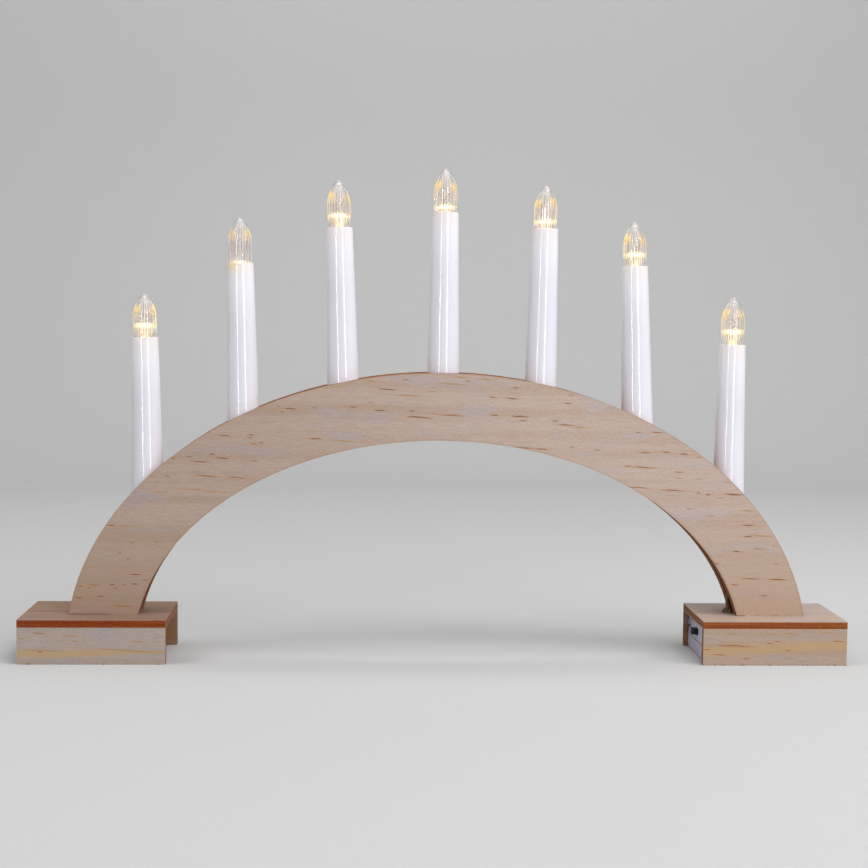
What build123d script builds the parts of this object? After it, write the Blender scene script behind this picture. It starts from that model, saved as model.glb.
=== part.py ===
from build123d import *
import os
from math import acos, cos, radians, sin, sqrt, tan

# Candle arch: a veneered arch on two channel feet, with seven LED candles along its top edge
# and a battery box in the right foot. Millimetres. The origin is on the table under the middle
# of the feet, X runs along the arch, the front faces -Y and Z is up.

os.makedirs("parts", exist_ok=True)

# Overall sizes
overall_width = 450
arch_crown_height = 157.6
arch_sink = 19.85
arch_shift = 2.5
arch_end_margin = 20.5
ring_width = 36.9
overrun = 5

# Boards: a thin core with a sheet of pine veneer glued on each face
veneer = 0.35
board_core = 3.6
arch_cheek = 2.6
groove_width = 5
groove_depth = 6
lead_bore_diameter = 4.6
sanded_corner_radius = 1.6

# Candle sleeves and their holes
candle_count = 7
end_candle_margin = 42.5
sleeve_length = 96
sleeve_top_diameter = 14.4
sleeve_bottom_diameter = 17.9
sleeve_wall = 0.95
sleeve_rim_radius = 0.4
hole_clearance = 0.1
seat_depth = 8.2
seat_depth_shares = (0.89, 0.96, 1.12, 1, 1, 0.85, 1)
seat_slope_share = 0.685
hole_drift_shares = (0.015, -0.018, -0.004, 0.018, 0.018, 0.020, -0.013)
lean_degrees = (-1.0, -1.2, -1.7, 0.2, 0.9, -1.9, 0.3)

# Flame caps: hollow bullets with ribs inside and a spigot pushed into the sleeve, at most to its ledge
cap_height = 23.6
cap_lift_shares = (0.021, 0.059, 0.093, 0.013, 0, 0.042, 0.114)
cap_belly_height = 9.5
cap_belly_diameter = 13.1
cap_nose_radius = 1.3
cap_inner_nose_radius = 0.8
cap_wall = 1.1
cap_tip_wall = 2.2
cap_clearance = 0.1
spigot_length = 10
ledge_width = 1.0
ledge_thickness = 1.5
rib_count = 24
rib_radius = 0.45
rib_cover = 0.1

# LEDs and the hot melt rings that hold them in the spigots
led_diameter = 5
led_flange_diameter = 5.8
led_flange_height = 1
led_height = 8.6
led_rise_shares = (0.31, 0.038, 0.314, 0.157, 0.199, 0.31, 0.347)
led_leg_size = 0.5
led_leg_length = 14
led_leg_pitch = 2.54
glue_ring_clearance = 0.15
glue_ring_bore = 4
glue_ring_overhang = 0.5

# Wires
wire_diameter = 1.1
wire_tail = 10.2
wire_leave_run = 6
wire_bow_height = 8.6
wire_bow = 1.3
wire_hole_diameter = 5.2
wire_hole_set_off = 2.2
wire_end_reach = 7
feed_bend_radius = 3
end_bend_radius = 1.4
splice_diameter = 1.9
splice_length = 5
splice_gap = 0.6
bend_run_share = 0.45
groove_steps = 14
groove_tries = 4

# Cells
cell_count = 3
cell_diameter = 14.5
cell_length = 50.5
cell_nub_diameter = 5.5
cell_nub_length = 1
cell_edge_radius = 0.6
cell_gap = 0.7
cell_clearance = 0.15

# Battery box
box_wall = 1.4
box_roof = 1.1
partition = 1.2
switch_room = 10
spring_room = 4.5
contact_thickness = 0.4
contact_size = 10
spring_width = 6
spring_foot_share = 0.12
spring_touch_gap = 0.05
bay_clearance = 0.2
box_floor_gap = 0.6
box_wire_gap = 2.1
box_set_back = 2.2
box_outer_recess = 7.2
cover_thickness = 1.3
cover_flange_height = 7.4
cover_clearance = 0.2
rail_depth = 0.85
rail_height = 0.9
box_entry_height = 12.4
box_entry_margin = 5
box_entry_clearance = 0.2

# Slide switch
knob_length = 4
knob_height = 3.4
knob_proud = 3.1
knob_root = 1.2
knob_edge_radius = 0.3
knob_travel = 3
knob_clearance = 0.3
knob_ridge_count = 3
knob_ridge_depth = 0.35
switch_length = 12
switch_height = 5.4
switch_depth = 5
switch_centre_height = 12.6
pin_pitch = 2.5
pin_width = 1.2
pin_thickness = 0.4
pin_length = 2.5

# Resistor and the wires in the box
resistor_diameter = 2.3
resistor_length = 6.3
resistor_leg_diameter = 0.6
resistor_height = 4.9
resistor_leg_gap = 0.1
resistor_bend_radius = 1.2
box_wire_bend_radius = 2.5
tab_length = 2.2
tab_width = 2.5

# Leg screws and hot melt
screw_diameter = 3.5
screw_length = 24
screw_head_diameter = 6.4
screw_head_height = 1.9
screw_tip = 3.5
screw_cross_length = 3
screw_cross_width = 0.8
screw_cross_depth = 1.1
screw_pitch = 13
screw_edge_share = 0.34
screw_clearance = 0.05
glue_bead_width = 6
glue_bead_inset = 18
glue_blob_radius = 3.6
glue_blob_height = 3.2
glue_blob_clearance = 0.1
glue_lump_width = 2.2
glue_lump_height = 3.4
glue_lump_proud = 1.3
glue_lump_radius = 0.6
glue_lump_taper = 20
glue_lump_lift = 3

# Sizes that follow: the feet are built round the battery box
board = board_core + 2 * veneer
box_width = cell_count * cell_diameter + (cell_count - 1) * cell_gap + 2 * (cell_clearance + box_wall)
cell_bay_length = 2 * contact_thickness + cell_length + spring_room
box_length = 2 * box_wall + switch_room + partition + cell_bay_length
box_height = cover_thickness + cell_diameter + 2 * cell_clearance + box_roof
bay_height = box_floor_gap + box_height + box_wire_gap
foot_height = bay_height + board
foot_depth = box_width + 2 * (bay_clearance + board)
foot_length = box_set_back + box_length + box_outer_recess
foot_inner_end = overall_width / 2 - foot_length

# The arch: outer and inner edges are ellipses about one centre
arch_half_width = overall_width / 2 - arch_end_margin
arch_centre = foot_height - arch_sink
arch_rise = arch_crown_height - arch_centre
hole_diameter = sleeve_bottom_diameter + 2 * hole_clearance
arch_core = hole_diameter + 2 * arch_cheek
candle_pitch = (arch_half_width - end_candle_margin) / (candle_count // 2)

# Places along the battery box, counted from its end at the middle of the arch
box_end = foot_inner_end + box_set_back
box_far_end = box_end + box_length
box_top = box_floor_gap + box_height
partition_face = box_end + box_wall + switch_room
cell_bay_start = partition_face + partition
cell_bay_end = box_far_end - box_wall
cover_top = box_floor_gap + cover_thickness
cell_height = cover_top + cell_clearance + cell_diameter / 2
bay_half_width = box_width / 2 - box_wall
switch_height_on_table = box_floor_gap + switch_centre_height
knob_rest = knob_travel / 2

# The wires run side by side, as far apart as the legs of an LED
wire_offset = led_leg_pitch / 2
wire_inset = ring_width - groove_depth / 2


def edge_height(x, inset):
    """Height of the arch's outer edge, drawn inset by this much, at x from the arch's middle."""
    return arch_centre + (arch_rise - inset) * sqrt(1 - (x / (arch_half_width - inset)) ** 2)


def edge_reach(height, inset):
    """How far from the arch's middle that edge is at this height."""
    return (arch_half_width - inset) * sqrt(1 - ((height - arch_centre) / (arch_rise - inset)) ** 2)


def edge_slope(x):
    """How steeply the outer edge falls at x from the arch's middle."""
    across = x / arch_half_width
    return arch_rise / arch_half_width * across / sqrt(1 - across**2)


def upright(x, y, z):
    """An upright plane that faces the front, with its own X along the arch and its own Y up."""
    return Plane((x, y, z), x_dir=(1, 0, 0), z_dir=(0, -1, 0))


def save(piece, label):
    """Name a finished piece and write it."""
    piece.label = label
    export_step(piece, f"parts/{label}.step")


# Where the wire goes through the top of the right foot
wire_hole_x = arch_shift + edge_reach(foot_height, ring_width) - wire_hole_set_off


class CandlePlace:
    """One candle's axis, from the floor of its hole up, with the planes its pieces are drawn on."""

    def __init__(self, number):
        place = number - candle_count // 2 + hole_drift_shares[number]
        lean = radians(lean_degrees[number])
        self.x = place * candle_pitch
        depth = seat_depth * seat_depth_shares[number]
        depth += seat_slope_share * hole_diameter * edge_slope(abs(self.x))
        surface = Vector(arch_shift + self.x, 0, edge_height(self.x, 0))
        up = Vector(sin(lean), 0, cos(lean))
        self.across = Vector(cos(lean), 0, -sin(lean))
        self.floor = surface - up * depth
        self.axis = Axis(self.floor, up)
        self.profile = Plane(self.floor, x_dir=self.across, z_dir=(0, -1, 0))
        self.wire_level = edge_height(self.x, wire_inset)
        for _ in range(groove_tries):
            drop = surface.Z - self.wire_level
            self.wire_x = self.x - drop * tan(lean)
            self.wire_level = edge_height(self.wire_x, wire_inset)
        self.cap_base = sleeve_length + cap_lift_shares[number] * cap_height
        self.led_base = sleeve_length + led_rise_shares[number] * cap_height - led_height

    def level(self, height):
        """The plane square to the axis at this height above the floor of the hole."""
        return Plane(self.floor + self.axis.direction * height, self.across, self.axis.direction)


candles = [CandlePlace(number) for number in range(candle_count)]


# Leg screws: countersunk, driven up through the tops of the feet into the legs


def screw_half(spot, clearance):
    """Half the outline of a screw that points up at this spot, or of its hole."""
    shank = screw_diameter / 2 + clearance
    with BuildSketch(upright(spot, 0, bay_height)) as half:
        Polygon(
            (0, 0),
            (screw_head_diameter / 2 + clearance, 0),
            (shank, screw_head_height),
            (shank, screw_length - screw_tip),
            (0, screw_length + clearance),
            align=None,
        )
    return half.sketch


leg_outer = edge_reach(foot_height, 0)
leg_inner = edge_reach(foot_height, ring_width)
screw_first = leg_inner + screw_edge_share * (leg_outer - leg_inner)
screw_spots = [
    arch_shift + side * (screw_first + step * screw_pitch) for side in (-1, 1) for step in range(2)
]

with BuildPart() as leg_screws:
    for spot in screw_spots:
        revolve(screw_half(spot, 0), axis=Axis((spot, 0, 0), (0, 0, 1)))
        for length, width in (
            (screw_cross_length, screw_cross_width),
            (screw_cross_width, screw_cross_length),
        ):
            with BuildSketch(Plane.XY.offset(bay_height)):
                with Locations((spot, 0)):
                    Rectangle(length, width)
            extrude(amount=screw_cross_depth, mode=Mode.SUBTRACT)
save(leg_screws.part, "leg_screws")

with BuildPart() as screw_holes:
    for spot in screw_spots:
        revolve(screw_half(spot, screw_clearance), axis=Axis((spot, 0, 0), (0, 0, 1)))


# The arch: a thick core between two sheets of veneer


def draw_arch():
    """The arch's outline, flat where its legs stand on the feet."""
    with Locations((arch_shift, arch_centre)):
        Ellipse(arch_half_width, arch_rise)
        Ellipse(arch_half_width - ring_width, arch_rise - ring_width, mode=Mode.SUBTRACT)
    with Locations((0, foot_height)):
        Rectangle(
            overall_width,
            arch_sink + arch_rise + overrun,
            align=(Align.CENTER, Align.MAX),
            mode=Mode.SUBTRACT,
        )


def sand_left_corner(sketch):
    """Round the inner bottom corner of the left leg."""
    leg_corners = sketch.vertices().group_by(Axis.Y)[0].sort_by(Axis.X)
    fillet(leg_corners[1], radius=sanded_corner_radius)


with BuildPart() as arch:
    with BuildSketch(Plane.XZ) as arch_face:
        draw_arch()
        sand_left_corner(arch_face)
    extrude(amount=arch_core / 2, both=True)
    # The wire groove along the inner edge
    with BuildSketch(Plane.XZ):
        roof_inset = ring_width - groove_depth
        with Locations((arch_shift, arch_centre)):
            Ellipse(arch_half_width - roof_inset, arch_rise - roof_inset)
    extrude(amount=groove_width / 2, both=True, mode=Mode.SUBTRACT)
    # A hole for each candle, and a bore for its leads from there to the groove
    for candle in candles:
        with BuildSketch(candle.level(0)):
            Circle(hole_diameter / 2)
        extrude(amount=sleeve_length, mode=Mode.SUBTRACT)
        with BuildSketch(candle.level(0)):
            Circle(lead_bore_diameter / 2)
        extrude(amount=candle.wire_level - candle.floor.Z, mode=Mode.SUBTRACT)
    add(screw_holes.part, mode=Mode.SUBTRACT)
save(arch.part, "arch_core")

for label, facing in (("arch_front_veneer", 1), ("arch_back_veneer", -1)):
    with BuildPart() as sheet:
        with BuildSketch(Plane.XZ.offset(facing * arch_core / 2)) as sheet_face:
            draw_arch()
            sand_left_corner(sheet_face)
        extrude(amount=facing * veneer)
    save(sheet.part, label)


# The feet: each is a channel glued up from three veneered boards

front_board_y = foot_depth / 2 - board / 2


def draw_foot_top(foot_x):
    """The outline of a foot's top, with the hole for the wires where it is the right foot's."""
    with Locations((foot_x, 0)):
        Rectangle(foot_length, foot_depth)
    if foot_x > 0:
        with Locations((wire_hole_x, 0)):
            Circle(wire_hole_diameter / 2, mode=Mode.SUBTRACT)


for side, foot in ((-1, "left_foot"), (1, "right_foot")):
    foot_x = side * (overall_width - foot_length) / 2

    with BuildPart() as top_core:
        with BuildSketch(Plane.XY.offset(bay_height + veneer)):
            draw_foot_top(foot_x)
        extrude(amount=board_core)
        add(screw_holes.part, mode=Mode.SUBTRACT)
    save(top_core.part, f"{foot}_top_board")

    with BuildPart() as top_veneers:
        for height in (bay_height, bay_height + board - veneer):
            with BuildSketch(Plane.XY.offset(height)):
                draw_foot_top(foot_x)
            extrude(amount=veneer)
        add(screw_holes.part, mode=Mode.SUBTRACT)
    save(top_veneers.part, f"{foot}_top_veneers")

    for facing, wall in ((-1, "front"), (1, "back")):
        with BuildPart() as wall_core:
            with BuildSketch():
                with Locations((foot_x, facing * front_board_y)):
                    Rectangle(foot_length, board_core)
            extrude(amount=bay_height)
        save(wall_core.part, f"{foot}_{wall}_board")

        with BuildPart() as wall_veneers:
            with BuildSketch():
                for sheet_side in (-1, 1):
                    sheet_y = facing * front_board_y + sheet_side * (board_core + veneer) / 2
                    with Locations((foot_x, sheet_y)):
                        Rectangle(foot_length, veneer)
            extrude(amount=bay_height)
        save(wall_veneers.part, f"{foot}_{wall}_veneers")


# Candle sleeves: tapered tubes with a ledge inside for the flame cap

sleeve_top_radius = sleeve_top_diameter / 2
sleeve_bottom_radius = sleeve_bottom_diameter / 2
ledge_top = sleeve_length - spigot_length
ledge_bottom = ledge_top - ledge_thickness
cap_base_radius = sleeve_top_radius - sleeve_wall - cap_clearance


def sleeve_bore(height):
    """Radius of the sleeve's bore at this height above its foot."""
    fall = (sleeve_bottom_radius - sleeve_top_radius) * height / sleeve_length
    return sleeve_bottom_radius - fall - sleeve_wall


ledge_radius = cap_base_radius - ledge_width

for number, candle in enumerate(candles, start=1):
    with BuildPart() as sleeve:
        with BuildSketch(candle.profile) as sleeve_half:
            with BuildLine():
                Polyline(
                    (sleeve_bore(0), 0),
                    (sleeve_bottom_radius, 0),
                    (sleeve_top_radius, sleeve_length),
                    (sleeve_bore(sleeve_length), sleeve_length),
                    (sleeve_bore(ledge_top), ledge_top),
                    (ledge_radius, ledge_top),
                    (ledge_radius, ledge_bottom),
                    (sleeve_bore(ledge_bottom), ledge_bottom),
                    close=True,
                )
            make_face()
            rim = sleeve_half.vertices().group_by(Axis.Y)[-1].sort_by(Axis.X)[-1]
            fillet(rim, radius=sleeve_rim_radius)
        revolve(axis=candle.axis)
    save(sleeve.part, f"candle_sleeve_{number}")


# Flame caps


def ogive_radius(belly, nose, rise):
    """Radius of the arc that runs from an upright belly into a round nose."""
    return (belly**2 + rise**2 - nose**2) / (2 * (belly - nose))


def flame_half(candle, base, belly, nose, height):
    """Half of a bullet: spigot, swelling barrel, ogive and round nose."""
    spigot_end = candle.cap_base - spigot_length
    belly_level = candle.cap_base + cap_belly_height
    tip = candle.cap_base + height
    rise = tip - nose - belly_level
    ogive = ogive_radius(belly, nose, rise)
    lift = nose / (ogive - nose)
    nose_start = (lift * (ogive - belly), tip - nose + lift * rise)
    with BuildSketch(candle.profile) as half:
        with BuildLine():
            Polyline((base, candle.cap_base), (base, spigot_end), (0, spigot_end), (0, tip))
            TangentArc((belly, belly_level), (base, candle.cap_base), tangent=(0, -1))
            side = TangentArc((belly, belly_level), nose_start, tangent=(0, 1))
            TangentArc(nose_start, (0, tip), tangent=side % 1)
        make_face()
    return half.sketch


cap_belly = cap_belly_diameter / 2
rib_reach = cap_base_radius + (cap_belly - cap_base_radius) / 2 - cap_wall
cap_ogive = ogive_radius(cap_belly, cap_nose_radius, cap_height - cap_nose_radius - cap_belly_height)
rib_top_drop = cap_belly - rib_reach - rib_radius - rib_cover
rib_length = cap_belly_height + sqrt(cap_ogive**2 - (cap_ogive - rib_top_drop) ** 2)

for number, candle in enumerate(candles, start=1):
    outer_half = flame_half(candle, cap_base_radius, cap_belly, cap_nose_radius, cap_height)
    inner_half = flame_half(
        candle,
        cap_base_radius - cap_wall,
        cap_belly - cap_wall,
        cap_inner_nose_radius,
        cap_height - cap_tip_wall,
    )
    with BuildPart() as cap:
        revolve(outer_half, axis=candle.axis)
        revolve(inner_half, axis=candle.axis, mode=Mode.SUBTRACT)
        with BuildSketch(candle.level(candle.cap_base)):
            with PolarLocations(rib_reach, rib_count):
                RegularPolygon(rib_radius, 4)
        extrude(amount=rib_length)
    save(cap.part, f"flame_cap_{number}")


# LEDs, their legs, and the hot melt that holds each one in its cap

led_radius = led_diameter / 2

for number, candle in enumerate(candles, start=1):
    with BuildPart() as led:
        with BuildSketch(candle.profile):
            shoulder = candle.led_base + led_height - led_radius
            flange_top = candle.led_base + led_flange_height
            with BuildLine():
                Polyline(
                    (0, shoulder + led_radius),
                    (0, candle.led_base),
                    (led_flange_diameter / 2, candle.led_base),
                    (led_flange_diameter / 2, flange_top),
                    (led_radius, flange_top),
                    (led_radius, shoulder),
                )
                TangentArc((led_radius, shoulder), (0, shoulder + led_radius), tangent=(0, 1))
            make_face()
        revolve(axis=candle.axis)
    save(led.part, f"led_{number}")

with BuildPart() as led_legs:
    for candle in candles:
        with BuildSketch(candle.level(candle.led_base)):
            with GridLocations(0, led_leg_pitch, 1, 2):
                Rectangle(led_leg_size, led_leg_size)
        extrude(amount=-led_leg_length)
save(led_legs.part, "led_legs")

glue_ring_radius = min(cap_base_radius - cap_wall, rib_reach - rib_radius) - glue_ring_clearance

with BuildPart() as led_glue:
    for candle in candles:
        ring_bottom = ledge_bottom - glue_ring_overhang
        with BuildSketch(candle.level(ring_bottom)):
            Circle(glue_ring_radius)
            Circle(glue_ring_bore / 2, mode=Mode.SUBTRACT)
        extrude(amount=candle.led_base - ring_bottom)
save(led_glue.part, "led_glue")


# Candle leads: from the LED's legs straight down to the wires in the groove

with BuildPart() as candle_leads:
    for candle in candles:
        lead_end = candle.wire_level + wire_diameter / 2 + splice_gap
        lead_top = candle.led_base - led_leg_length
        with BuildSketch(candle.level(lead_top)):
            with GridLocations(0, led_leg_pitch, 1, 2):
                Circle(wire_diameter / 2)
        extrude(amount=-(candle.floor.Z + lead_top - lead_end))
save(candle_leads.part, "candle_leads")


# Harness: two wires along the groove, out of it at the right leg, down through the foot's top
# board, over the battery box to its back corner and in through the end of the box

wire_gap_height = box_top + box_wire_gap / 2
box_entry_y = box_width / 2 - box_entry_margin
box_entry = box_floor_gap + box_entry_height
wire_turn_x = box_end - wire_diameter / 2 - end_bend_radius
groove_half_width = arch_half_width - wire_inset
groove_rise = arch_rise - wire_inset
groove_start = acos(candles[0].wire_x / groove_half_width) + wire_tail / groove_rise
leave_angle = acos(candles[-1].wire_x / groove_half_width) - wire_leave_run / groove_rise


def harness_points(offset):
    """The corners of one wire's route, this far to one side of the groove's middle."""
    points = []
    for step in range(groove_steps + 1):
        turn = groove_start + (leave_angle - groove_start) * step / groove_steps
        along = arch_shift + groove_half_width * cos(turn)
        points.append((along, offset, arch_centre + groove_rise * sin(turn)))
    entry_y = box_entry_y + offset
    points.append((wire_hole_x - wire_bow, offset, foot_height + wire_bow_height))
    points.append((wire_hole_x, offset, foot_height))
    points.append((wire_hole_x, offset, wire_gap_height))
    points.append((box_end + feed_bend_radius, entry_y, wire_gap_height))
    points.append((wire_turn_x, entry_y, wire_gap_height))
    points.append((wire_turn_x, entry_y, box_entry))
    points.append((box_end + wire_end_reach, entry_y, box_entry))
    return [Vector(*point) for point in points]


def bend_radii(points, tightest):
    """As large a bend at each corner as its two runs allow, but no larger than the last ones given."""
    radii = []
    for before, here, after in zip(points, points[1:], points[2:]):
        run_in = here - before
        run_out = after - here
        half_turn = radians(run_in.get_angle(run_out)) / 2
        radii.append(bend_run_share * min(run_in.length, run_out.length) / tan(half_turn))
    for place, limit in enumerate(reversed(tightest), start=1):
        radii[-place] = min(radii[-place], limit)
    return radii


with BuildPart() as harness:
    for offset in (-wire_offset, wire_offset):
        corners = harness_points(offset)
        bends = bend_radii(
            corners, (feed_bend_radius, feed_bend_radius, end_bend_radius, end_bend_radius)
        )
        with BuildLine() as route:
            FilletPolyline(*corners, radius=bends)
        line = route.wires()[0]
        with BuildSketch(Plane(line @ 0, z_dir=line % 0)):
            Circle(wire_diameter / 2)
        sweep()
save(harness.part, "harness_wires")

# A splice sleeve wraps each lead's end and the wire it is soldered to
with BuildPart() as splice_sleeves:
    for candle in candles:
        splice_bottom = candle.wire_level - candle.floor.Z - splice_diameter / 2
        with BuildSketch(candle.level(splice_bottom)):
            with GridLocations(0, led_leg_pitch, 1, 2):
                Circle(splice_diameter / 2)
        extrude(amount=splice_length)
    add(candle_leads.part, mode=Mode.SUBTRACT)
    add(harness.part, mode=Mode.SUBTRACT)
save(splice_sleeves.part, "splice_sleeves")


# Hot melt: a blob where the wires go through the foot, beads over the box, lumps at its corner

with BuildPart() as feed_glue:
    with BuildSketch(upright(wire_hole_x, 0, foot_height)):
        with BuildLine():
            Polyline((glue_blob_radius, 0), (0, 0), (0, glue_blob_height))
            TangentArc((0, glue_blob_height), (glue_blob_radius, 0), tangent=(1, 0))
        make_face()
    revolve(axis=Axis((wire_hole_x, 0, 0), (0, 0, 1)))
    leg_edge = arch_shift + edge_reach(foot_height + glue_blob_height, ring_width)
    split(bisect_by=Plane.YZ.offset(leg_edge - glue_blob_clearance), keep=Keep.BOTTOM)
    add(harness.part, mode=Mode.SUBTRACT)
save(feed_glue.part, "feed_glue")

lump_y = box_width / 2 + bay_clearance - glue_lump_width / 2

with BuildPart() as box_glue:
    with BuildSketch(Plane.XY.offset(box_top)):
        for bead_side in (-1, 1):
            with Locations(((box_end + box_far_end) / 2, bead_side * (box_width - cell_diameter) / 2)):
                SlotOverall(box_length - 2 * glue_bead_inset, glue_bead_width)
    extrude(amount=box_wire_gap)
    with BuildSketch(Plane.YZ.offset(box_end)):
        for lump_level in (box_top, box_floor_gap + cover_flange_height + glue_lump_lift):
            with Locations((lump_y, lump_level)):
                RectangleRounded(glue_lump_width, glue_lump_height, glue_lump_radius)
    extrude(amount=-glue_lump_proud, taper=glue_lump_taper)
save(box_glue.part, "box_glue")


# Battery box: a tray that opens downwards, with a room for the switch at one end

slot_length = knob_length + knob_travel + 2 * knob_clearance
slot_height = knob_height + 2 * knob_clearance
return_wire_y = -(cell_diameter + cell_gap) / 2
return_wire_height = box_top - box_roof - wire_diameter
tab_y = cell_diameter + cell_gap - tab_width


def slab(x_from, x_to, y_from, y_to, z_from, z_to, mode=Mode.ADD):
    """A block between two corners."""
    with Locations(((x_from + x_to) / 2, (y_from + y_to) / 2, (z_from + z_to) / 2)):
        return Box(x_to - x_from, y_to - y_from, z_to - z_from, mode=mode)


with BuildPart() as battery_box:
    half_width = box_width / 2
    slab(box_end, box_far_end, -half_width, half_width, box_floor_gap, box_top)
    # The switch room and the cell bay, with the partition between them
    for room_start, room_end in (
        (box_end + box_wall, partition_face),
        (cell_bay_start, cell_bay_end),
    ):
        slab(
            room_start,
            room_end,
            -bay_half_width,
            bay_half_width,
            box_floor_gap - overrun,
            box_top - box_roof,
            mode=Mode.SUBTRACT,
        )
    # Room for the cover, its flange at the end, and the rails that its edges slide in
    cover_room = cover_top + cell_clearance
    slab(
        box_end - overrun,
        cell_bay_end,
        -bay_half_width,
        bay_half_width,
        box_floor_gap - overrun,
        cover_room,
        mode=Mode.SUBTRACT,
    )
    slab(
        box_end - overrun,
        box_end + box_wall + cover_clearance,
        -box_width,
        box_width,
        box_floor_gap - overrun,
        box_floor_gap + cover_flange_height + cover_clearance,
        mode=Mode.SUBTRACT,
    )
    slab(
        box_end - overrun,
        cell_bay_end,
        -bay_half_width - rail_depth,
        bay_half_width + rail_depth,
        cover_top - rail_height - cell_clearance,
        cover_room,
        mode=Mode.SUBTRACT,
    )
    # The switch slot and the holes for the wires
    with BuildSketch(Plane.YZ.offset(box_end)):
        with Locations((0, switch_height_on_table)):
            Rectangle(slot_length, slot_height)
        for offset in (-wire_offset, wire_offset):
            with Locations((box_entry_y + offset, box_entry)):
                Circle(wire_diameter / 2 + box_entry_clearance)
    extrude(amount=box_wall, mode=Mode.SUBTRACT)
    with BuildSketch(Plane.YZ.offset(partition_face)):
        with Locations((return_wire_y, return_wire_height)):
            Circle(wire_diameter / 2 + box_entry_clearance)
        with Locations((tab_y, cell_height)):
            Rectangle(tab_width + 2 * box_entry_clearance, contact_thickness + 2 * box_entry_clearance)
    extrude(amount=partition, mode=Mode.SUBTRACT)
save(battery_box.part, "battery_box")

with BuildPart() as battery_cover:
    cover_half_width = bay_half_width - cover_clearance
    cover_start = box_end + box_wall
    cover_end = cell_bay_end - cover_clearance
    slab(cover_start, cover_end, -cover_half_width, cover_half_width, box_floor_gap, cover_top)
    tongue = bay_half_width + rail_depth - cover_clearance
    slab(
        cover_start + 2 * cover_clearance,
        cover_end,
        -tongue,
        tongue,
        cover_top - rail_height,
        cover_top,
    )
    slab(
        box_end,
        cover_start,
        -box_width / 2,
        box_width / 2,
        box_floor_gap,
        box_floor_gap + cover_flange_height,
    )
save(battery_cover.part, "battery_cover")


# Cells: laid side by side with their nubs to alternate ends

cell_rows = [(cell_diameter + cell_gap) * (place - (cell_count - 1) / 2) for place in range(cell_count)]
near_plate = cell_bay_start + contact_thickness
far_plate = cell_bay_end - contact_thickness

for number, row in enumerate(reversed(cell_rows), start=1):
    nub_near = number % 2 == 1
    nub_x = near_plate if nub_near else far_plate
    inward = 1 if nub_near else -1
    cell_plane = Plane((nub_x, row, cell_height), x_dir=(inward, 0, 0), z_dir=(0, -inward, 0))
    with BuildPart() as cell:
        with BuildSketch(cell_plane) as cell_half:
            with BuildLine():
                Polyline(
                    (0, 0),
                    (0, cell_nub_diameter / 2),
                    (cell_nub_length, cell_nub_diameter / 2),
                    (cell_nub_length, cell_diameter / 2),
                    (cell_length, cell_diameter / 2),
                    (cell_length, 0),
                    close=True,
                )
            make_face()
            shoulders = cell_half.vertices().group_by(Axis.Y)[-1]
            fillet(shoulders, radius=cell_edge_radius)
        revolve(axis=Axis((nub_x, row, cell_height), (1, 0, 0)))
    save(cell.part, f"battery_{number}")


# Contacts: flat plates on the walls of the cell bay, with a bent leaf at each negative end

top_row = cell_rows[-1]
middle_row = cell_rows[1]
bottom_row = cell_rows[0]
half_contact = contact_size / 2

with BuildPart() as contact_plates:
    for plate_start, plate_end, row_from, row_to in (
        (cell_bay_start, near_plate, top_row, top_row),
        (cell_bay_start, near_plate, bottom_row, middle_row),
        (far_plate, cell_bay_end, middle_row, top_row),
        (far_plate, cell_bay_end, bottom_row, bottom_row),
    ):
        slab(
            plate_start,
            plate_end,
            row_from - half_contact,
            row_to + half_contact,
            cell_height - half_contact,
            cell_height + half_contact,
        )
    # The tab that brings the first plate through to the switch
    slab(
        partition_face - tab_length,
        cell_bay_start,
        tab_y - tab_width / 2,
        tab_y + tab_width / 2,
        cell_height - contact_thickness / 2,
        cell_height + contact_thickness / 2,
    )
save(contact_plates.part, "contact_plates")

with BuildPart() as contact_springs:
    for plate_face, row, inward in (
        (near_plate, middle_row, 1),
        (far_plate, top_row, -1),
        (far_plate, bottom_row, -1),
    ):
        reach = inward * (spring_room - spring_touch_gap)
        leaf = spring_foot_share * contact_size
        with BuildSketch(upright(plate_face, row, cell_height)):
            with BuildLine():
                Polyline(
                    (0, -half_contact),
                    (reach, 0),
                    (0, half_contact),
                    (0, half_contact - leaf),
                    (reach * (half_contact - leaf) / half_contact, 0),
                    (0, leaf - half_contact),
                    close=True,
                )
            make_face()
        extrude(amount=spring_width / 2, both=True)
save(contact_springs.part, "contact_springs")


# Slide switch: its body stands against the end wall, its knob comes out through the slot

switch_face = box_end + box_wall
switch_back = switch_face + switch_depth

with BuildPart() as switch_body:
    slab(
        switch_face,
        switch_back,
        -switch_length / 2,
        switch_length / 2,
        switch_height_on_table - switch_height / 2,
        switch_height_on_table + switch_height / 2,
    )
    slab(
        switch_face - overrun,
        switch_face + knob_root + knob_clearance,
        -slot_length / 2,
        slot_length / 2,
        switch_height_on_table - slot_height / 2,
        switch_height_on_table + slot_height / 2,
        mode=Mode.SUBTRACT,
    )
save(switch_body.part, "switch_body")

with BuildPart() as switch_knob:
    slab(
        box_end - knob_proud,
        switch_face + knob_root,
        knob_rest - knob_length / 2,
        knob_rest + knob_length / 2,
        switch_height_on_table - knob_height / 2,
        switch_height_on_table + knob_height / 2,
    )
    fillet(switch_knob.faces().sort_by(Axis.X)[0].edges(), radius=knob_edge_radius)
    # Finger ridges across the end of the knob
    ridge_step = knob_length / (knob_ridge_count + 1)
    with BuildSketch(Plane.XY.offset(switch_height_on_table)):
        with Locations((box_end - knob_proud, knob_rest)):
            with GridLocations(0, ridge_step, 1, knob_ridge_count):
                RegularPolygon(knob_ridge_depth, 4)
    extrude(amount=knob_height, both=True, mode=Mode.SUBTRACT)
save(switch_knob.part, "switch_knob")

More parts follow.
